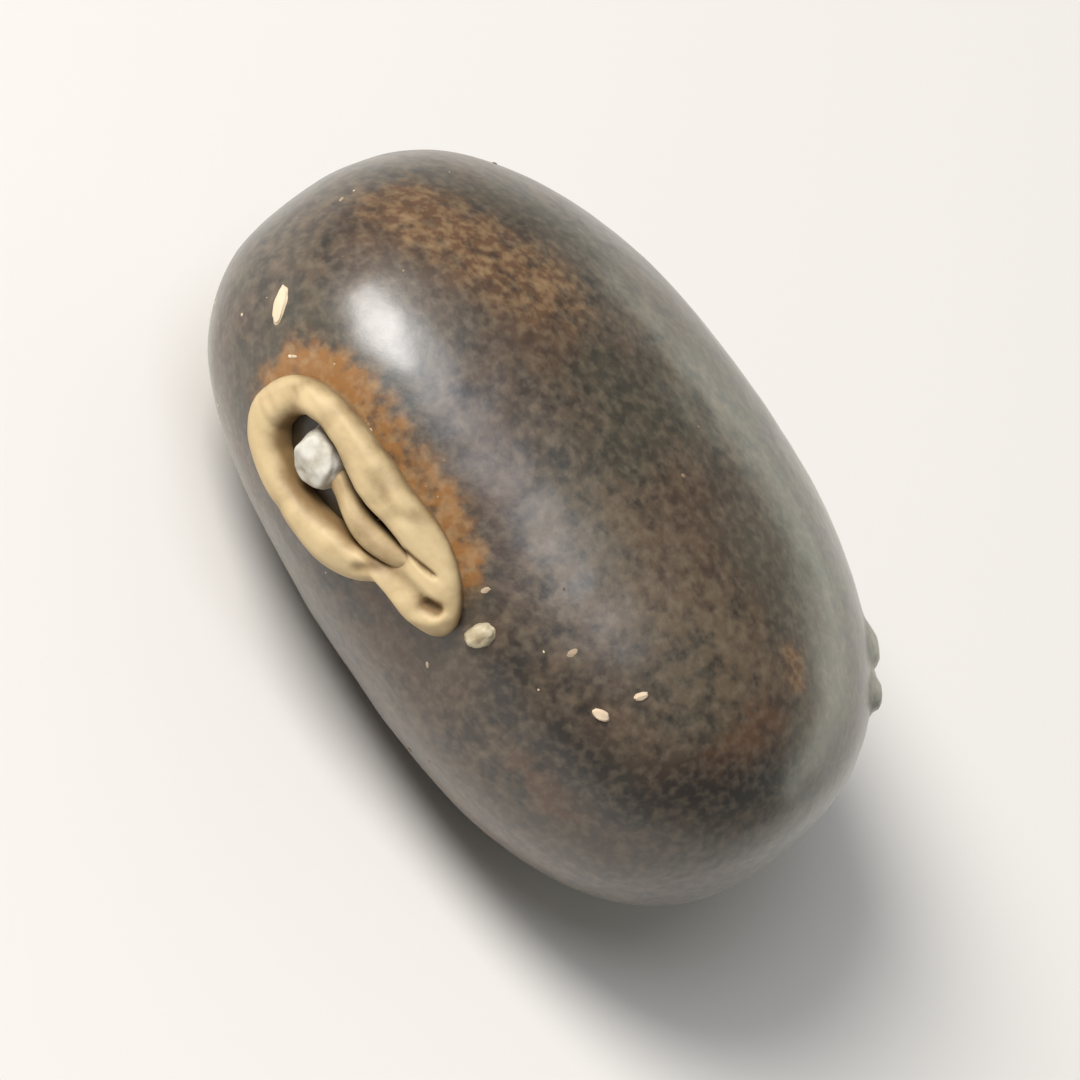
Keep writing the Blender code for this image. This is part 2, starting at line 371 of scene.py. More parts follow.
def lay_down(mesh):
    """Moves a mesh from the seed's own axes to where the seed lies, pressed flat where it touches."""
    mesh.transform(rest_matrix())
    press_flat(mesh)


def press_flat(mesh):
    places = places_of(mesh)
    places[:, 2] = np.maximum(places[:, 2], 0.0)
    mesh.vertices.foreach_set("co", places.ravel())
    mesh.update()


def surface(name, points, faces, material):
    """A smooth mesh, its faces turned outwards."""
    mesh = bpy.data.meshes.new(name)
    mesh.from_pydata(points, [], faces)
    bm = bmesh.new()
    bm.from_mesh(mesh)
    bmesh.ops.recalc_face_normals(bm, faces=bm.faces[:])
    bm.to_mesh(mesh)
    bm.free()
    mesh.shade_smooth()
    mesh.materials.append(material)
    return mesh


def tube_faces(rings, section, closed):
    """Quads between rings of points, joined back to the first ring if closed, and else capped."""
    faces = []
    for i in range(rings if closed else rings - 1):
        for j in range(section):
            near, far = i * section, (i + 1) % rings * section
            k = (j + 1) % section
            faces.append((near + j, near + k, far + k, far + j))
    if not closed:
        faces += [tuple(range(section)), tuple(range((rings - 1) * section, rings * section))]
    return faces


def add_piece(name, mesh, replaced=None):
    """Adds a finished piece, hangs it under the root body's empty, and hides the solid it replaces, if one is
    given.
    """
    piece = bpy.data.objects.new(name, mesh)
    bpy.context.scene.collection.objects.link(piece)
    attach(piece, "root")
    if replaced:
        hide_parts(replaced)
    return piece


def give_values(mesh, name, values):
    """Stores one number a point, which the material reads."""
    attribute = mesh.attributes.new(name, "FLOAT", "POINT")
    attribute.data.foreach_set("value", np.asarray(values, np.float32))


def distance_to_run(places, run):
    """The distance of each place to a run of points, or to the only one."""
    places = np.asarray(places, float)
    run = np.array(run, float)
    best = np.linalg.norm(places - run[0], axis=-1)
    for start, end in zip(run[:-1], run[1:]):
        leg = end - start
        share = np.clip((places - start) @ leg / (leg @ leg), 0, 1)
        best = np.minimum(best, np.linalg.norm(places - start - share[..., None] * leg, axis=-1))
    return best


def soft_step(values, low, high):
    share = np.clip((values - low) / (high - low), 0, 1)
    return share * share * (3 - 2 * share)


def moving_average(values, width, edges):
    """Each value averaged with its neighbours. The edges wrap round or repeat the end."""
    padded = np.pad(values, (width // 2, width // 2), mode=edges)
    return np.convolve(padded, np.ones(width) / width, mode="valid")


def run_tree(name, start, tree, values):
    """Runs a tree on a mesh with its inputs set by name, and returns the result as a plain mesh."""
    piece = bpy.data.objects.new(name, start)
    bpy.context.scene.collection.objects.link(piece)
    modifier = piece.modifiers.new("form", "NODES")
    modifier.node_group = tree
    for item in tree.interface.items_tree:
        if item.item_type == "SOCKET" and item.in_out == "INPUT" and item.name in values:
            modifier[item.identifier] = values[item.name]
    piece.update_tag()
    bpy.context.view_layer.update()
    graph = bpy.context.evaluated_depsgraph_get()
    mesh = bpy.data.meshes.new_from_object(piece.evaluated_get(graph), depsgraph=graph)
    bpy.data.objects.remove(piece, do_unlink=True)
    bpy.data.node_groups.remove(tree)
    mesh.name = name
    return mesh


# The outlines round the hilum.


def spoke(turn):
    """The unit direction (s, t) of the spoke at this angle round the aril."""
    s, t = math.cos(turn), SPOKE_SQUASH * math.sin(turn)
    size = math.hypot(s, t)
    return s / size, t / size


def aril_field(s, t):
    """1 on the outer edge of the aril, whose oval and tail lobe meet in a soft notch."""
    along = s - OVAL_MIDDLE[0]
    aside = t - OVAL_MIDDLE[1] - OVAL_LEAN * along
    oval = np.abs(along / OVAL_HALF[0]) ** OVAL_ROUNDING
    oval += np.abs(aside / OVAL_HALF[1]) ** OVAL_ROUNDING
    along = s - TAIL_MIDDLE[0]
    aside = t - TAIL_MIDDLE[1] - TAIL_LEAN * along
    tail = (along / TAIL_HALF[0]) ** 2 + (aside / TAIL_HALF[1]) ** 2
    both = [np.maximum(oval ** (1 / OVAL_ROUNDING), 0.001), np.maximum(np.sqrt(tail), 0.001)]
    return sum(field**-NOTCH_SHARPNESS for field in both) ** (-1 / NOTCH_SHARPNESS)


def outside_aril(s, t):
    """How far (s, t) is outside the aril's edge, or less than 0 inside it."""
    step = 0.01 * MM
    field = aril_field(s, t)
    slope = np.hypot(aril_field(s + step, t) - field, aril_field(s, t + step) - field) / step
    return (field - 1) / slope


def aril_reach(s, t):
    """How far along the spoke (s, t) the aril's outer edge is, found by halving."""
    near, far = 0.0, 5 * MM
    while far - near > 1e-8:
        middle = (near + far) / 2
        if aril_field(s * middle, t * middle) < 1:
            near = middle
        else:
            far = middle
    return near


def opening_reach(s, t):
    """How far along the spoke (s, t) the opening's edge is, in mm."""
    best = 0.0
    for start, end in zip(OPENING, OPENING[1:] + OPENING[:1]):
        leg = (end[0] - start[0], end[1] - start[1])
        cross = s * leg[1] - t * leg[0]
        if abs(cross) > 1e-9:
            distance = (start[0] * leg[1] - start[1] * leg[0]) / cross
            share = (start[0] * t - start[1] * s) / cross
            if distance > best and -1e-9 <= share <= 1 + 1e-9:
                best = distance
    return best


# The coat.


COAT_FORMULA = (
    # Superellipsoid: how far each direction reaches.
    ("wide", "POWER", "y share", "girth rounding"),
    ("high", "POWER", "z share", "girth rounding"),
    ("round", "ADD", "wide", "high"),
    ("ratio", "DIVIDE", "length rounding", "girth rounding"),
    ("across", "POWER", "round", "ratio"),
    ("along", "POWER", "x share", "length rounding"),
    ("both", "ADD", "across", "along"),
    ("root", "DIVIDE", -1.0, "length rounding"),
    ("reach", "POWER", "both", "root"),
    ("x", "MULTIPLY", "x way", "reach"),
    ("y", "MULTIPLY", "y way", "reach"),
    ("z", "MULTIPLY", "z way", "reach"),
    # Fuller at the far end, and bent like a kidney.
    ("half length", "MULTIPLY", "length", 0.5),
    ("share", "DIVIDE", "x", "half length"),
    ("fuller", "MULTIPLY_ADD", "share", "far end fuller", 1.0),
    ("full y", "MULTIPLY", "y", "fuller"),
    ("full z", "MULTIPLY", "z", "fuller"),
    ("share squared", "MULTIPLY", "share", "share"),
    ("bend", "MULTIPLY", "share squared", "kidney bend"),
    ("bent y", "SUBTRACT", "full y", "bend"),
)


def coat_tree():
    """Geometry Nodes that form the smooth seed out of a sphere."""
    tree = bpy.data.node_groups.new("velvet_bean_coat_form", "GeometryNodeTree")
    tree.interface.new_socket(name="Geometry", in_out="INPUT", socket_type="NodeSocketGeometry")
    names = (
        "Length", "Width", "Thickness", "Length Rounding", "Girth Rounding", "Kidney Bend", "Far End Fuller",
    )
    for name in names:
        tree.interface.new_socket(name=name, in_out="INPUT", socket_type="NodeSocketFloat")
    tree.interface.new_socket(name="Fineness", in_out="INPUT", socket_type="NodeSocketInt")
    tree.interface.new_socket(name="Coat", in_out="INPUT", socket_type="NodeSocketMaterial")
    tree.interface.new_socket(name="Geometry", in_out="OUTPUT", socket_type="NodeSocketGeometry")
    given = node(tree, "NodeGroupInput").outputs
    sphere = node(tree, "GeometryNodeMeshIcoSphere", {"Radius": 1.0, "Subdivisions": given["Fineness"]})
    way = node(tree, "GeometryNodeInputPosition").outputs[0]
    sizes = {"X": given["Length"], "Y": given["Width"], "Z": given["Thickness"]}
    sizes = node(tree, "ShaderNodeCombineXYZ", sizes).outputs[0]
    halves = node(tree, "ShaderNodeVectorMath", {0: sizes, "Scale": 0.5}, operation="SCALE").outputs[0]
    shares = node(tree, "ShaderNodeVectorMath", {0: way, 1: halves}, operation="DIVIDE").outputs[0]
    shares = node(tree, "ShaderNodeVectorMath", {0: shares}, operation="ABSOLUTE").outputs[0]
    way = node(tree, "ShaderNodeSeparateXYZ", {0: way}).outputs
    shares = node(tree, "ShaderNodeSeparateXYZ", {0: shares}).outputs
    known = {name.lower(): given[name] for name in names}
    known.update({f"{axis} way": way[i] for i, axis in enumerate("xyz")})
    known.update({f"{axis} share": shares[i] for i, axis in enumerate("xyz")})
    for result, operation, *terms in COAT_FORMULA:
        inputs = {i: known.get(term, term) for i, term in enumerate(terms)}
        known[result] = node(tree, "ShaderNodeMath", inputs, operation=operation).outputs[0]
    inputs = {"X": known["x"], "Y": known["bent y"], "Z": known["full z"]}
    place = node(tree, "ShaderNodeCombineXYZ", inputs)
    inputs = {"Geometry": sphere.outputs["Mesh"], "Position": place.outputs[0]}
    formed = node(tree, "GeometryNodeSetPosition", inputs)
    smooth = node(tree, "GeometryNodeSetShadeSmooth", {"Geometry": formed.outputs[0]})
    real = node(tree, "GeometryNodeRealizeInstances", {"Geometry": smooth.outputs[0]})
    inputs = {"Geometry": real.outputs[0], "Material": given["Coat"]}
    painted = node(tree, "GeometryNodeSetMaterial", inputs)
    node(tree, "NodeGroupOutput", {0: painted.outputs[0]})
    return tree


def roughen_coat(mesh):
    """Gives the smooth form the lumps of the solid, finer waves, and the two small bumps near the far end."""
    sizes = bpy.context.scene.velvet_bean_coat
    half_thickness = sizes.thickness / 2
    for vert in mesh.vertices:
        point = vert.co.copy()
        share = point.x / (sizes.length / 2)
        bend = sizes.kidney_bend * share**2
        fuller = 1 + sizes.far_end_fuller * share
        smooth = Vector((point.x, (point.y + bend) / fuller, point.z / fuller))
        lump = 1 + sizes.lump_height / half_thickness * noise.noise(smooth / sizes.lump_spacing)
        point.y = (point.y + bend) * lump - bend
        point.z *= lump
        wave = 0.030 * noise.noise(point / (1.9 * MM))
        wave += 0.012 * noise.noise(point / (0.62 * MM) + Vector((7, 3, 1)))
        for middle, reach, height in EDGE_BUMPS:
            off = (point / MM - Vector(middle)).length / reach
            wave += height * math.exp(-(off**4))
        vert.co = point + point.normalized() * wave * MM
    mesh.update()


def mark_coat(mesh):
    """Stores how strong each kind of patch, the ring round the aril and the slit's floor are."""
    places = places_of(mesh) / MM
    for name, patches in PATCHES.items():
        shares = [np.exp(-((distance_to_run(places, run) / reach) ** 2)) for run, reach, _ in patches]
        total = sum(most * share for (_, _, most), share in zip(patches, shares))
        give_values(mesh, name, np.minimum(total, 1.0))
    x, y, z = places.T * MM
    near = y < -1 * MM
    depth = np.where(near, -y, 1 * MM)
    s = np.where(near, x / depth * plane_distance() - SLIT_MIDDLE_X, 1.0)
    t = np.where(near, z / depth * plane_distance(), 1.0)
    outside = outside_aril(s, t) / MM
    s, t = s / MM, t / MM
    halo = 1 - soft_step(outside, 0.05, 1.3)
    halo *= 1 - 0.3 * np.exp(-((s - 0.4) ** 2))
    # Painted shade: the ring is painted weaker on the t- side of the aril, where that side lies in shade.
    halo *= 0.3 + 0.7 * soft_step(t - 0.25 * s, -0.9, 0.3)
    halo *= 1 - 0.8 * soft_step(s, 2.6, 3.4)
    give_values(mesh, "halo", np.where(near, halo, 0.0))
    give_values(mesh, "slit", np.where(near, 1 - soft_step(outside, -0.45, -0.2), 0.0))


def coat_material():
    """Hard seed coat, dried in the pod: near-black brown with a waxy satin face, mottled paler where the
    outermost layer has worn, and clouded with rust. The wax gives a broad soft gloss that fine wrinkles break
    up, and its fine bloom turns the edges a pale grey green."""
    # Painted sheen: the pale patches and the two small bumps are painted lighter where sheen falls.
    colours = bpy.context.scene.velvet_bean_coat
    tree, shader, place = new_material(
        "dry_seed_coat", IOR=1.5, Coat_Weight=0.85, Coat_Roughness=0.27, Sheen_Weight=0.16,
        Sheen_Roughness=0.35, Sheen_Tint=linear("C9C8B4"),
    )
    # Clouds about 3 mm across, mottling of about 0.9 and 0.34 mm, and dots of about 0.2 mm.
    noises = []
    for size, detail in ((3, 3), (0.9, 3), (0.34, 4), (0.2, 2)):
        inputs = {"Vector": place, "Scale": 1 / (size * MM), "Detail": detail}
        noises.append(node(tree, "ShaderNodeTexNoise", inputs).outputs)
    clouds = node(tree, "ShaderNodeSeparateColor", {0: noises[0]["Color"]}).outputs
    mottle, grain, dot = [noise_outputs[0] for noise_outputs in noises[1:]]
    part = node(tree, "ShaderNodeMath", {0: mottle, 1: 0.25}, operation="MULTIPLY").outputs[0]
    part = {0: grain, 1: 0.75, 2: part}
    part = node(tree, "ShaderNodeMath", part, operation="MULTIPLY_ADD").outputs[0]
    # Each step: what it follows, from and to which value it grows, how strong it gets, and its colour.
    steps = (
        (part, 0.34, 0.66, 1.0, colours.mottle),
        (clouds[0], 0.42, 0.62, 0.55, colours.brown),
        (clouds[1], 0.44, 0.62, 0.50, colours.olive),
    )
    painted = colours.ground
    for value, low, high, most, paint in steps:
        inputs = {"Value": value, "From Min": low, "From Max": high, "To Max": most}
        share = node(tree, "ShaderNodeMapRange", inputs, interpolation_type="SMOOTHSTEP").outputs[0]
        inputs = {0: share, 6: painted, 7: paint}
        painted = node(tree, "ShaderNodeMix", inputs, data_type="RGBA").outputs[2]
    # The mottling breaks up the patches.
    inputs = {"Value": part, "From Min": 0.38, "From Max": 0.62, "To Min": 0.45, "To Max": 1.35}
    broken = node(tree, "ShaderNodeMapRange", inputs).outputs[0]
    patches = (
        # Painted sheen: the pale patches paint the gloss trail and the upper back sheen into the colour.
        ("pale", 0.5, colours.pale),
        # Painted sheen on the two small bumps.
        ("bump_sheen", 0.8, colours.bump_sheen),
        ("rust", 0.8, colours.rust),
        ("red", 0.8, colours.red),
        ("dark", 0.8, colours.dark),
        ("halo", 0.9, colours.halo),
    )
    strengths = {}
    for name, most, paint in patches:
        stored = node(tree, "ShaderNodeAttribute", attribute_name=name).outputs["Fac"]
        value = node(tree, "ShaderNodeMath", {0: stored, 1: broken}, operation="MULTIPLY").outputs[0]
        inputs = {"Value": value, "From Min": 0.1, "From Max": 0.9, "To Max": most}
        share = node(tree, "ShaderNodeMapRange", inputs, interpolation_type="SMOOTHSTEP").outputs[0]
        strengths[name] = share
        inputs = {0: share, 6: painted, 7: paint}
        painted = node(tree, "ShaderNodeMix", inputs, data_type="RGBA").outputs[2]
    inputs = {0: strengths["rust"], 1: strengths["halo"]}
    warm = node(tree, "ShaderNodeMath", inputs, operation="MAXIMUM").outputs[0]
    # Dots: tan in the warm patches, and worn ones everywhere.
    for value, most, paint in ((warm, 0.5, colours.tan), (0.5, 0.6, colours.worn)):
        inputs = {"Value": dot, "From Min": 0.42, "From Max": 0.74, "To Max": most}
        share = node(tree, "ShaderNodeMapRange", inputs).outputs[0]
        share = node(tree, "ShaderNodeMath", {0: share, 1: value}, operation="MULTIPLY").outputs[0]
        inputs = {0: share, 6: painted, 7: paint}
        painted = node(tree, "ShaderNodeMix", inputs, data_type="RGBA").outputs[2]
    slit = node(tree, "ShaderNodeAttribute", attribute_name="slit").outputs["Fac"]
    inputs = {0: slit, 6: painted, 7: colours.slit}
    painted = node(tree, "ShaderNodeMix", inputs, data_type="RGBA").outputs[2]
    tree.links.new(painted, shader.inputs["Base Color"])
    # The worn patches are duller than the wax.
    dull = node(tree, "ShaderNodeMapRange", {"Value": warm, "To Min": 0.46, "To Max": 0.62})
    tree.links.new(dull.outputs[0], shader.inputs["Roughness"])
    # Wrinkles about 0.15 mm apart, and dimples about 0.5 mm apart.
    wrinkle = node(tree, "ShaderNodeTexNoise", {"Vector": place, "Scale": 1 / (0.15 * MM), "Detail": 3})
    fine = {"Height": wrinkle.outputs[0], "Strength": 0.35, "Distance": 0.02 * MM}
    fine = node(tree, "ShaderNodeBump", fine).outputs[0]
    broad = {"Height": part, "Strength": 0.5, "Distance": 0.03 * MM, "Normal": fine}
    tree.links.new(node(tree, "ShaderNodeBump", broad).outputs[0], shader.inputs["Normal"])
    return bpy.data.materials["dry_seed_coat"]


class VELVETBEAN_OT_coat(bpy.types.Operator):
    """Builds the kidney-shaped body in its dark coat"""

    bl_idname = "velvet_bean.make_coat"
    bl_label = "Seed Coat"

    def execute(self, context):
        sizes = context.scene.velvet_bean_coat
        values = {
            "Length": sizes.length,
            "Width": sizes.width,
            "Thickness": sizes.thickness,
            "Length Rounding": sizes.length_rounding,
            "Girth Rounding": sizes.girth_rounding,
            "Kidney Bend": sizes.kidney_bend,
            "Far End Fuller": sizes.far_end_fuller,
            "Fineness": sizes.fineness,
            "Coat": coat_material(),
        }
        mesh = run_tree("coat", bpy.data.meshes.new("start"), coat_tree(), values)
        roughen_coat(mesh)
        mark_coat(mesh)
        lay_down(mesh)
        add_piece("coat", mesh, "seed")
        return {"FINISHED"}


# The aril.


def lip_relief(s, t):
    """The height in mm that the grooves, ridges and wrinkles of the lips add at each (s, t) in mm."""
    height = np.zeros(len(s))
    places = np.stack((s, t), axis=-1)
    for run, half_width, stroke_height in LIP_STROKES:
        height += stroke_height * np.exp(-((distance_to_run(places, run) / half_width) ** 2))
    for i, (ps, pt) in enumerate(places):
        height[i] += 0.045 * noise.noise(Vector((ps / 1.1, pt / 0.6, 3.0)))
        height[i] += 0.020 * noise.noise(Vector((ps / 0.9, pt / 0.16, 9.0)))
    return height


def signed_power(value, exponent):
    return math.copysign(abs(value) ** exponent, value)


def aril_material():
    """Dry aril: a thick waxy cream rim, drawn into fine creases as it dried. It is matt and lets a little
    light into its edges. Its grooves, the foot of its walls and its inner side are painted darker tan as
    painted shade, over real tan stains."""
    colours = bpy.context.scene.velvet_bean_aril
    tree, shader, place = new_material(
        "dry_aril", Roughness=0.6, IOR=1.45, Subsurface_Weight=0.12,
        Subsurface_Radius=(1.0, 0.6, 0.3), Subsurface_Scale=0.25 * MM,
    )
    painted_shade = node(tree, "ShaderNodeAttribute", attribute_name="painted_shade").outputs["Fac"]
    # Stains about 0.5 mm across, and creases about 0.12 mm apart.
    stain = node(tree, "ShaderNodeTexNoise", {"Vector": place, "Scale": 1 / (0.5 * MM), "Detail": 4})
    # The stain noise is mixed with the painted shade, and both are drawn in the darker tan.
    inputs = {0: stain.outputs[0], 1: 0.7, 2: painted_shade}
    worn = node(tree, "ShaderNodeMath", inputs, operation="MULTIPLY_ADD")
    inputs = {"Value": worn.outputs[0], "From Min": 0.28, "From Max": 1.0}
    share = node(tree, "ShaderNodeMapRange", inputs, interpolation_type="SMOOTHSTEP")
    inputs = {0: share.outputs[0], 6: colours.cream, 7: colours.crease}
    painted = node(tree, "ShaderNodeMix", inputs, data_type="RGBA")
    tree.links.new(painted.outputs[2], shader.inputs["Base Color"])
    crease = node(tree, "ShaderNodeTexNoise", {"Vector": place, "Scale": 1 / (0.12 * MM), "Detail": 3})
    inputs = {"Height": crease.outputs[0], "Strength": 0.4, "Distance": 0.02 * MM}
    bump = node(tree, "ShaderNodeBump", inputs)
    tree.links.new(bump.outputs[0], shader.inputs["Normal"])
    return bpy.data.materials["dry_aril"]


class VELVETBEAN_OT_aril(bpy.types.Operator):
    """Builds the cream collar round the slit"""

    bl_idname = "velvet_bean.make_aril"
    bl_label = "Aril"

    def execute(self, context):
        sizes = context.scene.velvet_bean_aril
        rings, section = 480, 72
        spokes = [spoke(math.tau * i / rings) for i in range(rings)]
        inner = moving_average([opening_reach(s, t) for s, t in spokes], 9, "wrap") * MM
        outer = []
        for s, t in spokes:
            outer.append(aril_reach(s, t) * (1 + 0.018 * noise.noise(Vector((s * 2.4, t * 2.4, 5.0)))))
        outer = moving_average(outer, 7, "wrap")
        turns = [math.tau * j / section for j in range(section)]
        across = []
        for turn in turns:
            rounding = sizes.rounding if math.cos(turn) > 0 else sizes.inner_rounding
            across.append(signed_power(math.cos(turn), 2 / rounding))
        rise = np.tile([signed_power(math.sin(turn), 2 / sizes.rounding) for turn in turns], rings)
        distance = ((outer + inner) / 2)[:, None] + ((outer - inner) / 2)[:, None] * np.array(across)
        distance = distance.ravel()
        s, t = np.repeat(spokes, section, axis=0).T * distance
        relief = np.where(rise > 0, lip_relief(s / MM, t / MM), 0.0)
        tail_share = np.clip((s - TAIL_MIDDLE[0] + TAIL_HALF[0]) / TAIL_HALF[0], 0, 1)
        height = (sizes.lip_height - sizes.root_depth) / 2
        height = height + (sizes.lip_height + sizes.root_depth) / 2 * rise
        height += (relief * MM - sizes.tail_drop * tail_share) * np.maximum(rise, 0.0)
        points = [near_hilum(*place) for place in zip(s, t, height)]
        mesh = surface("aril_collar", points, tube_faces(rings, section, closed=True), aril_material())
        # Painted shade: the lower half of each lip's section, down where it meets the coat, is painted
        # darker, more so on the inner side towards the slit, and the grooves are painted darker too.
        wall_shade = (1 - np.maximum(rise, 0.0)) * np.where(np.tile(across, rings) < 0, 0.75, 0.5)
        give_values(mesh, "painted_shade", np.clip(np.maximum(-relief * 4, 0.0) + wall_shade, 0, 1))
        lay_down(mesh)
        add_piece("aril_collar", mesh, "aril")
        return {"FINISHED"}


class VELVETBEAN_OT_tongue(bpy.types.Operator):
    """Builds the tongue that lies in the slit and joins the tail"""

    bl_idname = "velvet_bean.make_tongue"
    bl_label = "Tongue"

    def execute(self, context):
        steps, section = 160, 32
        run = np.array(TONGUE_RUN)
        shares = np.linspace(0, len(run) - 1, steps)
        columns = [np.interp(shares, range(len(run)), column) for column in run.T]
        columns = [moving_average(column, 15, "edge") for column in columns]
        points = []
        for i, (s, t, half_width, crest) in enumerate(zip(*columns)):
            close = max(0.02, math.sqrt(max(0.0, 1 - abs(2 * i / (steps - 1) - 1) ** 10)))
            for j in range(section):
                turn = math.tau * j / section
                aside = half_width * close * signed_power(math.cos(turn), 0.85)
                height = (crest + TONGUE_ROOT) / 2
                height += (crest - TONGUE_ROOT) / 2 * close * math.sin(turn)
                if math.sin(turn) > 0:
                    height += 0.02 * noise.noise(Vector((s / 0.5, aside / 0.08, 2.0)))
                points.append(near_hilum(s * MM, (t + aside) * MM, height * MM))
        faces = tube_faces(steps, section, closed=False)
        mesh = surface("slit_tongue", points, faces, bpy.data.materials["dry_aril"])
        # Painted shade: the whole tongue, lying down in the slit, is painted partly darker.
        give_values(mesh, "painted_shade", [0.3] * len(points))
        lay_down(mesh)
        add_piece("slit_tongue", mesh)
        return {"FINISHED"}


# Crumbs.


def crumb(place, halves, turn, sharpness, fineness):
    """The points and faces of a ball cut by the crumb facets, with soft edges."""
    bm = bmesh.new()
    bmesh.ops.create_icosphere(bm, subdivisions=fineness, radius=1.0)
    points = []
    for vert in bm.verts:
        way = Matrix.Rotation(turn, 3, "Z") @ vert.co
        cuts = [max(0.0, way.dot(Vector(facing).normalized()) / far) for facing, far in CRUMB_FACETS]
        size = sum(cut**sharpness for cut in cuts) ** (-1 / sharpness)
        broad = noise.noise(way * 2.2 + Vector((turn * 5, 0, 0)))
        size *= 1 + 0.08 * broad + 0.015 * noise.noise(way * 6)
        points.append(place @ (Vector(half * part for half, part in zip(halves, vert.co)) * size * MM))
    faces = [tuple(vert.index for vert in face.verts) for face in bm.faces]
    bm.free()
    return points, faces


def dry_material(name, base, spots, roughness):
    """A dry tissue colour with soft spots about 0.3 mm apart."""
    tree, shader, place = new_material(name, Roughness=roughness)
    spot = {"Vector": place, "Scale": 1 / (0.3 * MM), "Detail": 4}
    spot = node(tree, "ShaderNodeTexNoise", spot).outputs[0]
    inputs = {"Value": spot, "From Min": 0.42, "From Max": 0.75, "To Max": 0.8}
    share = node(tree, "ShaderNodeMapRange", inputs)
    painted = node(tree, "ShaderNodeMix", {0: share.outputs[0], 6: base, 7: spots}, data_type="RGBA")
    tree.links.new(painted.outputs[2], shader.inputs["Base Color"])
    bump = node(tree, "ShaderNodeBump", {"Height": spot, "Strength": 0.4, "Distance": 0.02 * MM})
    tree.links.new(bump.outputs[0], shader.inputs["Normal"])
    return bpy.data.materials[name]


class VELVETBEAN_OT_crumbs(bpy.types.Operator):
    """Builds the dry crumb of the stalk in the slit, the lens past the tail, and the crumbs on the coat"""

    bl_idname = "velvet_bean.make_crumbs"
    bl_label = "Stalk Remnant, Lens and Crumbs"

    def execute(self, context):
        colours = context.scene.velvet_bean_aril
        # Dried stalk tissue: papery, whitish grey and quite matt.
        dry = dry_material("dry_stalk_tissue", colours.remnant, linear("9A9078"), 0.8)
        place = axes_on_coat(hilum_ray(-0.68 * MM, 0.00 * MM), (1.05, 0, -0.65), 0.28 * MM)
        mesh = surface("stalk_remnant", *crumb(place, (0.57, 0.46, 0.36), 0.5, 14, 5), dry)
        lay_down(mesh)
        add_piece("stalk_remnant", mesh)
        # The lens is coat that dried pale: hard, cream and a little waxy.
        pale = dry_material("pale_lens", colours.lens, linear("8A7350"), 0.5)
        place = axes_on_coat(hilum_ray(3.82 * MM, 0.55 * MM), (0.2, 0, 1), 0.06 * MM)
        mesh = surface("lens", *crumb(place, (0.32, 0.23, 0.21), 1.0, 10, 5), pale)
        lay_down(mesh)
        add_piece("lens", mesh)
        points, faces, tones = [], [], []
        for i, (middle, along, halves, tone) in enumerate(STUCK_CRUMBS):
            place = axes_on_coat(middle, along, 0.3 * halves[2] * MM)
            more, more_faces = crumb(place, halves, i * 1.3, 16, 4)
            faces += [tuple(index + len(points) for index in face) for face in more_faces]
            points += more
            tones += [tone] * len(more)
        mesh = surface("stuck_crumbs", points, faces, fleck_material())
        give_values(mesh, "tone", tones)
        lay_down(mesh)
        add_piece("stuck_crumbs", mesh)
        return {"FINISHED"}


# The flecks.


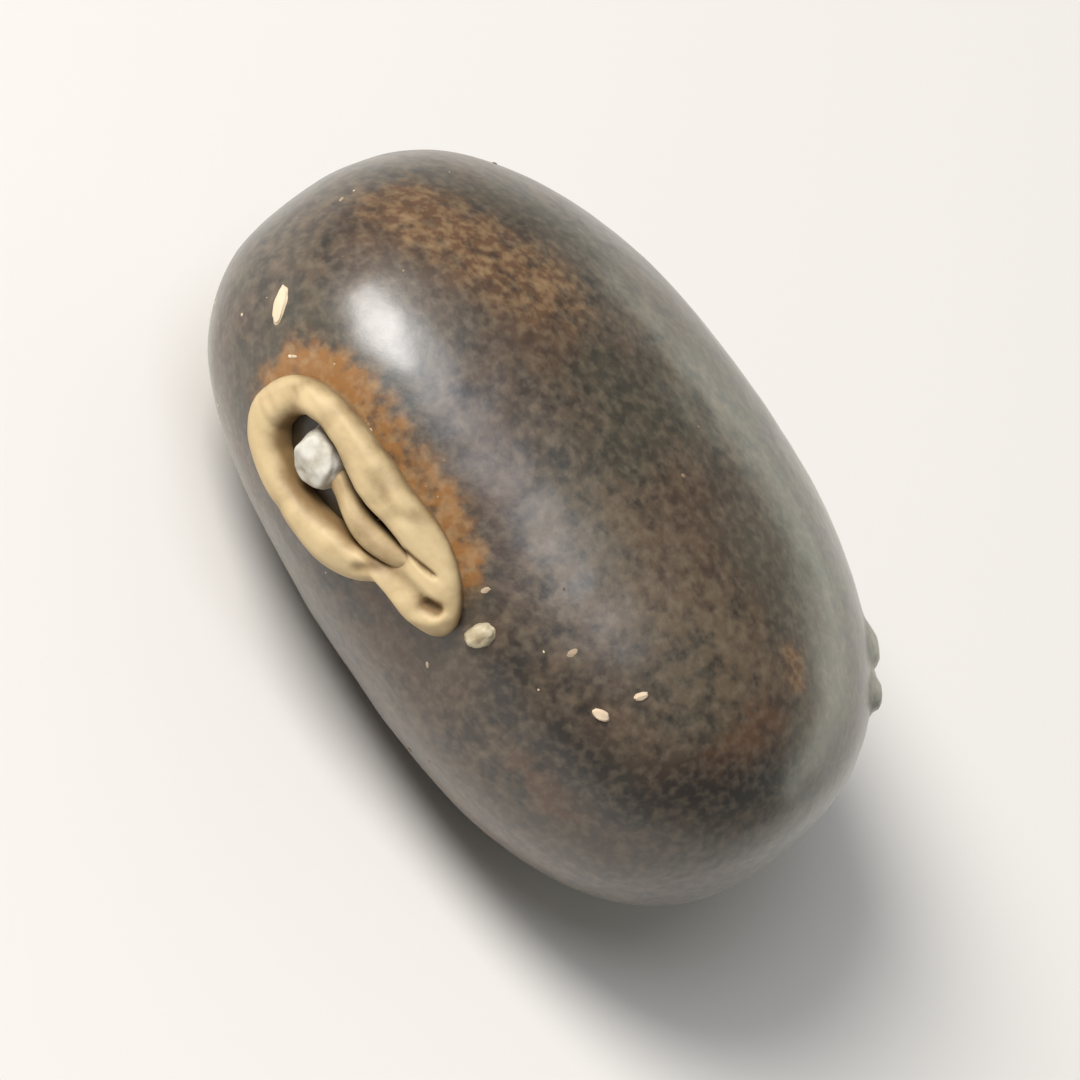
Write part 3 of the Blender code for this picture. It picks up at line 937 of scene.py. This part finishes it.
def fleck_tree():
    """Geometry Nodes that scatter small flattened flecks over the coat."""
    tree = bpy.data.node_groups.new("velvet_bean_flecks", "GeometryNodeTree")
    tree.interface.new_socket(name="Geometry", in_out="INPUT", socket_type="NodeSocketGeometry")
    for name, kind in (("Density", "Float"), ("Size", "Float"), ("Seed", "Int"), ("Fleck", "Material")):
        tree.interface.new_socket(name=name, in_out="INPUT", socket_type=f"NodeSocket{kind}")
    tree.interface.new_socket(name="Geometry", in_out="OUTPUT", socket_type="NodeSocketGeometry")
    given = node(tree, "NodeGroupInput").outputs
    inputs = {"Name": "fleck_share"}
    share = node(tree, "GeometryNodeInputNamedAttribute", inputs, data_type="FLOAT").outputs[0]
    inputs = {0: given["Density"], 1: share}
    density = node(tree, "ShaderNodeMath", inputs, operation="MULTIPLY").outputs[0]
    inputs = {"Mesh": given["Geometry"], "Density": density, "Seed": given["Seed"]}
    points = node(tree, "GeometryNodeDistributePointsOnFaces", inputs, distribute_method="RANDOM")
    ball = node(tree, "GeometryNodeMeshIcoSphere", {"Radius": 1.0, "Subdivisions": 2})
    draw = {2: 0.0, 3: 1.0, "Seed": 3}
    draw = node(tree, "FunctionNodeRandomValue", draw, data_type="FLOAT").outputs[1]
    grown = node(tree, "ShaderNodeMath", {0: draw, 1: 3.0}, operation="POWER").outputs[0]
    grown = {0: grown, 1: 0.72, 2: 0.28}
    grown = node(tree, "ShaderNodeMath", grown, operation="MULTIPLY_ADD").outputs[0]
    size = node(tree, "ShaderNodeMath", {0: grown, 1: given["Size"]}, operation="MULTIPLY").outputs[0]
    inputs = {0: (0.6, 0.45, 0.16), 1: (1.3, 1.0, 0.34), "Seed": 5}
    form = node(tree, "FunctionNodeRandomValue", inputs, data_type="FLOAT_VECTOR").outputs[0]
    scale = node(tree, "ShaderNodeVectorMath", {0: form, "Scale": size}, operation="SCALE").outputs[0]
    twist = {2: 0.0, 3: math.tau, "Seed": 8}
    twist = node(tree, "FunctionNodeRandomValue", twist, data_type="FLOAT").outputs[1]
    twist = {"Axis": (0, 0, 1), "Angle": twist}
    twist = node(tree, "FunctionNodeAxisAngleToRotation", twist).outputs[0]
    inputs = {"Rotation": points.outputs["Rotation"], "Rotate By": twist}
    turn = node(tree, "FunctionNodeRotateRotation", inputs, rotation_space="LOCAL").outputs[0]
    inputs = {"Points": points.outputs["Points"], "Instance": ball.outputs["Mesh"]}
    inputs.update({"Rotation": turn, "Scale": scale})
    placed = node(tree, "GeometryNodeInstanceOnPoints", inputs)
    tone = {2: 0.0, 3: 1.0, "Seed": 13}
    tone = node(tree, "FunctionNodeRandomValue", tone, data_type="FLOAT").outputs[1]
    inputs = {"Geometry": placed.outputs[0], "Name": "tone", "Value": tone}
    toned = node(tree, "GeometryNodeStoreNamedAttribute", inputs, data_type="FLOAT", domain="INSTANCE")
    smooth = node(tree, "GeometryNodeSetShadeSmooth", {"Geometry": toned.outputs[0]})
    real = node(tree, "GeometryNodeRealizeInstances", {"Geometry": smooth.outputs[0]})
    inputs = {"Geometry": real.outputs[0], "Material": given["Fleck"]}
    painted = node(tree, "GeometryNodeSetMaterial", inputs)
    node(tree, "NodeGroupOutput", {0: painted.outputs[0]})
    return tree


def fleck_material():
    """Scurf: specks of the pod's dry lining that stuck to the coat, pale tan to brown and quite matt."""
    if "dry_scurf" in bpy.data.materials:
        return bpy.data.materials["dry_scurf"]
    colours = bpy.context.scene.velvet_bean_flecks
    tree, shader, _ = new_material("dry_scurf", Roughness=0.8)
    tone = node(tree, "ShaderNodeAttribute", attribute_name="tone").outputs["Fac"]
    painted = node(tree, "ShaderNodeMix", {0: tone, 6: colours.brown, 7: colours.pale}, data_type="RGBA")
    tree.links.new(painted.outputs[2], shader.inputs["Base Color"])
    return bpy.data.materials["dry_scurf"]


class VELVETBEAN_OT_flecks(bpy.types.Operator):
    """Scatters the dry flecks over the coat"""

    bl_idname = "velvet_bean.make_flecks"
    bl_label = "Flecks"

    def execute(self, context):
        sizes = context.scene.velvet_bean_flecks
        start = bpy.data.objects["coat"].data.copy()
        stored = {}
        for name in ("halo", "rust"):
            stored[name] = np.empty(len(start.vertices), np.float32)
            start.attributes[name].data.foreach_get("value", stored[name])
        patchy = [max(0.0, noise.noise(vert.co / (2.4 * MM)) * 2 + 0.35) for vert in start.vertices]
        share = np.array(patchy) * (0.5 + stored["rust"]) + stored["halo"] * 2.0
        give_values(start, "fleck_share", share)
        values = {"Density": sizes.per_area, "Size": sizes.size, "Seed": sizes.seed}
        values["Fleck"] = fleck_material()
        mesh = run_tree("flecks", start, fleck_tree(), values)
        press_flat(mesh)
        add_piece("flecks", mesh)
        return {"FINISHED"}


# The stage.


def add_light(name, way, along, distance, sizes, power, colour):
    """An oval soft light that lies this way from the seed, faces it, and is longest along the given line."""
    data = bpy.data.lights.new(name, "AREA")
    data.shape = "ELLIPSE"
    data.size, data.size_y = sizes
    data.energy = power
    data.color = linear(colour)[:3]
    light = bpy.data.objects.new(name, data)
    way = Vector(way).normalized()
    across = way.cross(Vector(along)).normalized()
    turn = Matrix((across.cross(way), across, way)).transposed()
    light.matrix_world = Matrix.Translation(Vector((0, 0, 0.004)) + way * distance) @ turn.to_4x4()
    bpy.context.scene.collection.objects.link(light)


class VELVETBEAN_OT_stage(bpy.types.Operator):
    """Sets the pale floor, the soft lights and the camera"""

    bl_idname = "velvet_bean.set_stage"
    bl_label = "Stage"

    def execute(self, context):
        scene = context.scene
        stage = scene.velvet_bean_stage
        bpy.ops.mesh.primitive_plane_add(size=4.0, location=(0, 0, -0.02 * MM))
        floor = context.object
        floor.name = "floor"
        # Pale matt board.
        new_material("matt_board", Base_Color=stage.floor, Roughness=0.9)
        floor.data.materials.append(bpy.data.materials["matt_board"])
        run = (0.502, -0.044, 0.209)
        add_light("key", (-0.617, -0.379, 0.690), run, 0.35, (0.19, 0.14), stage.key, "FFFCF7")
        add_light("top", (-0.31, -0.42, 0.83), run, 0.40, (0.36, 0.22), stage.top, "EFF4FF")
        add_light("rim", (0.42, 0.88, 0.17), (1, -0.5, 0), 0.40, (0.60, 0.12), stage.rim, "FBFFEE")
        world = bpy.data.worlds.new("even_light")
        world.use_nodes = True
        background = world.node_tree.nodes["Background"]
        background.inputs["Color"].default_value = linear("F4F5F7")
        background.inputs["Strength"].default_value = stage.world
        scene.world = world
        data = bpy.data.cameras.new("camera")
        data.sensor_width = 36.0
        data.lens = data.sensor_width * stage.distance / stage.frame_height
        data.clip_start = 0.01
        data.clip_end = 10.0
        camera = bpy.data.objects.new("camera", data)
        back = Vector((0, -math.cos(stage.elevation), math.sin(stage.elevation)))
        level = Vector((1, 0, 0))
        above = back.cross(level)
        right = level * math.cos(stage.roll) + above * math.sin(stage.roll)
        up = above * math.cos(stage.roll) - level * math.sin(stage.roll)
        turn = Matrix((right, up, back)).transposed()
        aim = Vector((0.0, 0.0, 0.0041)) - up * 0.0003
        camera.matrix_world = Matrix.Translation(aim + back * stage.distance) @ turn.to_4x4()
        scene.collection.objects.link(camera)
        scene.camera = camera
        scene.view_settings.view_transform = "Standard"
        return {"FINISHED"}


class VELVETBEAN_PT_panel(bpy.types.Panel):
    """Lists the pieces of the velvet bean and their sizes"""

    bl_label = "Velvet Bean"
    bl_idname = "VELVETBEAN_PT_panel"
    bl_space_type = "VIEW_3D"
    bl_region_type = "UI"
    bl_category = "Velvet Bean"

    def draw(self, context):
        layout = self.layout
        for operator in OPERATORS:
            layout.operator(operator.bl_idname)
        for group in GROUPS:
            box = layout.box()
            settings = getattr(context.scene, group)
            for name in settings.bl_rna.properties.keys():
                if name not in ("rna_type", "name"):
                    box.prop(settings, name)


GROUPS = {
    "velvet_bean_coat": VelvetBeanCoat,
    "velvet_bean_aril": VelvetBeanAril,
    "velvet_bean_flecks": VelvetBeanFlecks,
    "velvet_bean_stage": VelvetBeanStage,
}
OPERATORS = (
    VELVETBEAN_OT_coat,
    VELVETBEAN_OT_aril,
    VELVETBEAN_OT_tongue,
    VELVETBEAN_OT_crumbs,
    VELVETBEAN_OT_flecks,
    VELVETBEAN_OT_stage,
)


def register():
    for kind in (*GROUPS.values(), *OPERATORS, VELVETBEAN_PT_panel):
        bpy.utils.register_class(kind)
    for name, kind in GROUPS.items():
        setattr(bpy.types.Scene, name, PointerProperty(type=kind))


def unregister():
    for name in GROUPS:
        delattr(bpy.types.Scene, name)
    for kind in reversed((*GROUPS.values(), *OPERATORS, VELVETBEAN_PT_panel)):
        bpy.utils.unregister_class(kind)


def main():
    register()
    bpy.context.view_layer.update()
    bpy.ops.velvet_bean.make_coat()
    bpy.ops.velvet_bean.make_aril()
    bpy.ops.velvet_bean.make_tongue()
    bpy.ops.velvet_bean.make_crumbs()
    bpy.ops.velvet_bean.make_flecks()
    bpy.ops.velvet_bean.set_stage()


if __name__ == "__main__":
    main()
